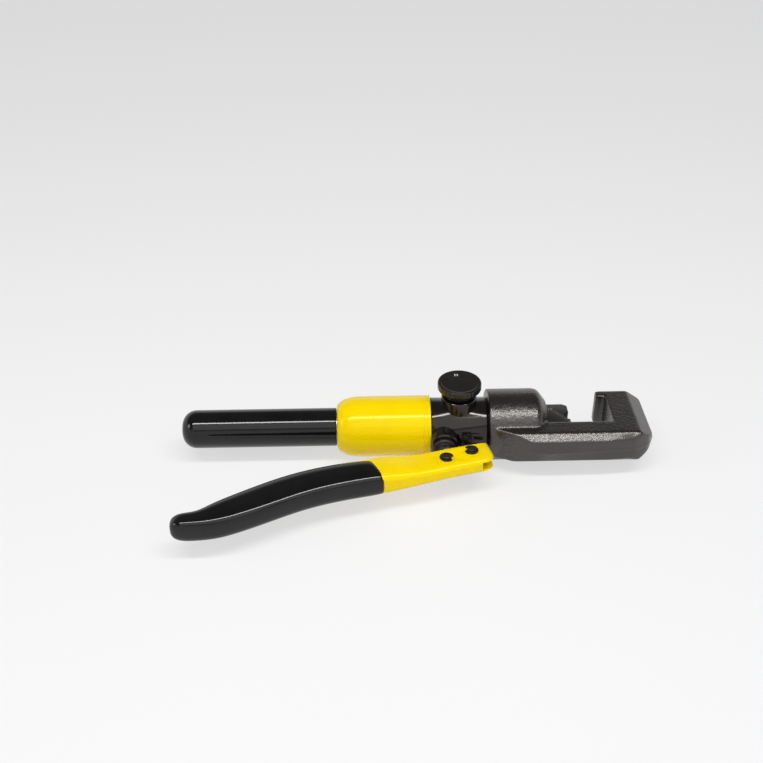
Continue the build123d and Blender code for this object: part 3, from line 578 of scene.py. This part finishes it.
def makeHeadForging():
    bm = cleanCopy("head_frame", 0)
    bmesh.ops.triangulate(bm, faces=bm.faces)
    bm = remeshed(bm, "headBlank")
    low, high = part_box("head_frame")
    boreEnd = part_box("moving_die")[1].x - forging["boreEnd"]

    def isForged(co):
        inBore = Vector((co.y, co.z)).length < forging["bore"] and co.x < boreEnd
        return not inBore and co.x > low.x + forging["seam"]

    shapeSpine(bm, low.x, high.x)
    soft = [v for v in bm.verts if isForged(v.co)]
    for _ in range(forging["passes"]):
        bmesh.ops.smooth_vert(bm, verts=soft, factor=0.5, use_axis_x=True, use_axis_y=True, use_axis_z=True)
    bm.normal_update()
    for vert in soft:
        lump = sum(noise.noise(vert.co * scale) * weight for scale, weight in forging["lumps"])
        vert.co -= vert.normal * forging["unevenness"] * (0.5 + 0.5 * lump)
    raisePartingLine(bm, high.x - forging["partingLine"])
    for vert in bm.verts:
        vert.co.x = min(vert.co.x, high.x)
    print("head forging has", len(bm.faces), "faces")
    return finishPiece("headForging", bm, "head_frame", forging["smooth"])


# Grip on the lever: sections along the lever, bridged
leverGrip = {
    # along, across, half depth and half width, in millimetres
    "sections": [(-10.6, -55.0, 11.6, 9.0), (-24.7, -57.2, 12.1, 9.1), (-46.1, -62.6, 12.4, 9.1),
                 (-65.8, -70.4, 12.6, 9.1), (-87.6, -82.8, 12.3, 9.1), (-104.0, -91.9, 11.2, 9.0),
                 (-111.6, -95.8, 9.6, 8.7), (-117.2, -97.9, 8.1, 8.3), (-123.0, -98.9, 7.2, 8.2),
                 (-128.2, -99.2, 6.9, 8.0), (-132.0, -99.4, 5.9, 6.9), (-134.4, -99.6, 4.2, 4.9),
                 (-135.3, -99.7, 2.0, 2.3)],
    "points": 48, "wall": 1.3 * mm, "squareness": 2.9, "mouthLean": 16, "levels": 2, "smooth": 80,
}


def ovalLoop(bm, place, turn, depth, width):
    # a ring of vertices across the lever, between an ellipse and a rectangle
    ring = bmesh.ops.create_circle(bm, segments=leverGrip["points"], radius=1.0)["verts"]
    power = 2 / leverGrip["squareness"]
    for vert in ring:
        deep = depth * abs(vert.co.x) ** power * (1 if vert.co.x > 0 else -1)
        wide = width * abs(vert.co.y) ** power * (1 if vert.co.y > 0 else -1)
        vert.co = Vector((place[0] - deep * sin(turn), place[1] + deep * cos(turn), wide)) * mm
    return ring


def makeLeverGrip():
    bm = bmesh.new()
    sections = leverGrip["sections"]
    rings = []
    for i, (x, y, depth, width) in enumerate(sections):
        ahead, behind = sections[max(i - 1, 0)], sections[min(i + 1, len(sections) - 1)]
        turn = atan2(ahead[1] - behind[1], ahead[0] - behind[0])
        if i == 0:
            turn += radians(leverGrip["mouthLean"])
        rings.append(ovalLoop(bm, (x, y), turn, depth, width))
    for pair in zip(rings, rings[1:]):
        edges = [e for e in bm.edges if any(all(v in ring for v in e.verts) for ring in pair)]
        bmesh.ops.bridge_loops(bm, edges=edges)
    bm.faces.new(rings[-1])
    piece = finishPiece("leverGripVinyl", bm, "lever_grip", leverGrip["smooth"])
    wall = piece.modifiers.new("wall", "SOLIDIFY")
    wall.thickness = leverGrip["wall"]
    wall.offset = -1
    smooth = piece.modifiers.new("smooth", "SUBSURF")
    smooth.levels = smooth.render_levels = leverGrip["levels"]
    return piece


# Pieces that keep the node's own shape, with their sharp edges rounded by these millimetres
edgeOf = {"pump_body": 0.35, "moving_die": 0.25, "plunger_gland": 0.25, "plunger": 0.2, "rocker_link": 0.25,
          "link_pin": 0.12, "plunger_pin": 0.12, "fulcrum_pin": 0.12, "pin_clips": 0.08, "lever": 0.25,
          "ram": 0.2}
edgedSmooth = 38


def makeEdgedCopies():
    for node, edge in edgeOf.items():
        finishPiece(camelName(node) + "Finished", cleanCopy(node, edge * mm), node, edgedSmooth, False)


# Springs: each has its joint, its travel and the end that stays
springs = {
    "return_spring": {"joint": "ram_slide", "travel": 10.2 * mm, "fixed": "high"},
    "suction_spring": {"joint": "suction_lift", "travel": 0.5 * mm, "fixed": "high"},
    "discharge_spring": {"joint": "discharge_lift", "travel": 1.0 * mm, "fixed": "high"},
    "relief_spring": {"joint": "relief_lift", "travel": 0.8 * mm, "fixed": "low"},
}
springSmooth = 60


def makeSprings():
    for node, spring in springs.items():
        piece = finishPiece(camelName(node) + "Wire", cleanCopy(node, 0), node, springSmooth, False)
        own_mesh(piece)


# Paint marks: two strokes on the knob's face and the size number on the die
marks = {"stroke": (0.8 * mm, 2.4 * mm), "strokeAt": (-1.6 * mm, 8.6 * mm), "strokeEvery": 1.5 * mm,
         "strokeColour": (0.62, 0.6, 0.56), "number": "10", "height": 3.4 * mm, "numberAt": (4.0 * mm, 6.5 * mm),
         "numberColour": (0.3, 0.28, 0.26), "thick": 0.02 * mm}


def paint(name, colour):
    material, tree, shader, place = newMaterial(name)
    worn = noiseOf(tree, place, scale=1500, detail=4)
    dull = tuple(0.55 * c for c in colour)
    setColour(tree, shader, worn, dark=dull, light=colour, start=0.3, end=0.5)
    shader.inputs["Roughness"].default_value = 0.5
    return material


def placeMark(name, mesh, material, node):
    mesh.materials.clear()
    mesh.materials.append(material)
    piece = bpy.data.objects.new(name, mesh)
    bpy.context.scene.collection.objects.link(piece)
    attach(piece, bodyOf[node])


def makeKnobMarks():
    low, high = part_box("release_knob")
    face = high.z - knob["face"] + marks["thick"]
    bm = bmesh.new()
    for side in (-0.5, 0.5):
        x = (low.x + high.x) / 2 + marks["strokeAt"][0] + side * marks["strokeEvery"]
        place = Matrix.Translation((x, marks["strokeAt"][1], face)) @ Matrix.Diagonal((*marks["stroke"], 1, 1))
        bmesh.ops.create_grid(bm, x_segments=1, y_segments=1, size=0.5, matrix=place)
    mesh = bpy.data.meshes.new("knobMarks")
    bm.to_mesh(mesh)
    bm.free()
    placeMark("knobMarks", mesh, paint("knobPaint", marks["strokeColour"]), "release_knob")


def makeDieNumber():
    low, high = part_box("moving_die")
    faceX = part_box("ram")[1].x
    writing = bpy.data.curves.new("dieNumber", "FONT")
    writing.body = marks["number"]
    writing.size = marks["height"]
    writing.align_x = "CENTER"
    blank = bpy.data.objects.new("dieNumberBlank", writing)
    bpy.context.scene.collection.objects.link(blank)
    depsgraph = bpy.context.evaluated_depsgraph_get()
    mesh = bpy.data.meshes.new_from_object(blank.evaluated_get(depsgraph))
    bpy.data.objects.remove(blank)
    spot = (faceX + marks["numberAt"][0], marks["numberAt"][1], high.z + marks["thick"])
    mesh.transform(Matrix.Translation(spot))
    placeMark("dieNumber", mesh, paint("diePaint", marks["numberColour"]), "moving_die")


makeReservoirShell()
makeFixedGrip()
print("reservoir shell and fixed grip are turned")
makeReleaseKnob()
print("release knob is turned")
makeHeadForging()
print("head forging is softened")
makeLeverGrip()
print("lever grip is bridged")
makeEdgedCopies()
print("edges are rounded on", len(edgeOf), "pieces")
makeSprings()
makeKnobMarks()
makeDieNumber()
print("paint marks are on")
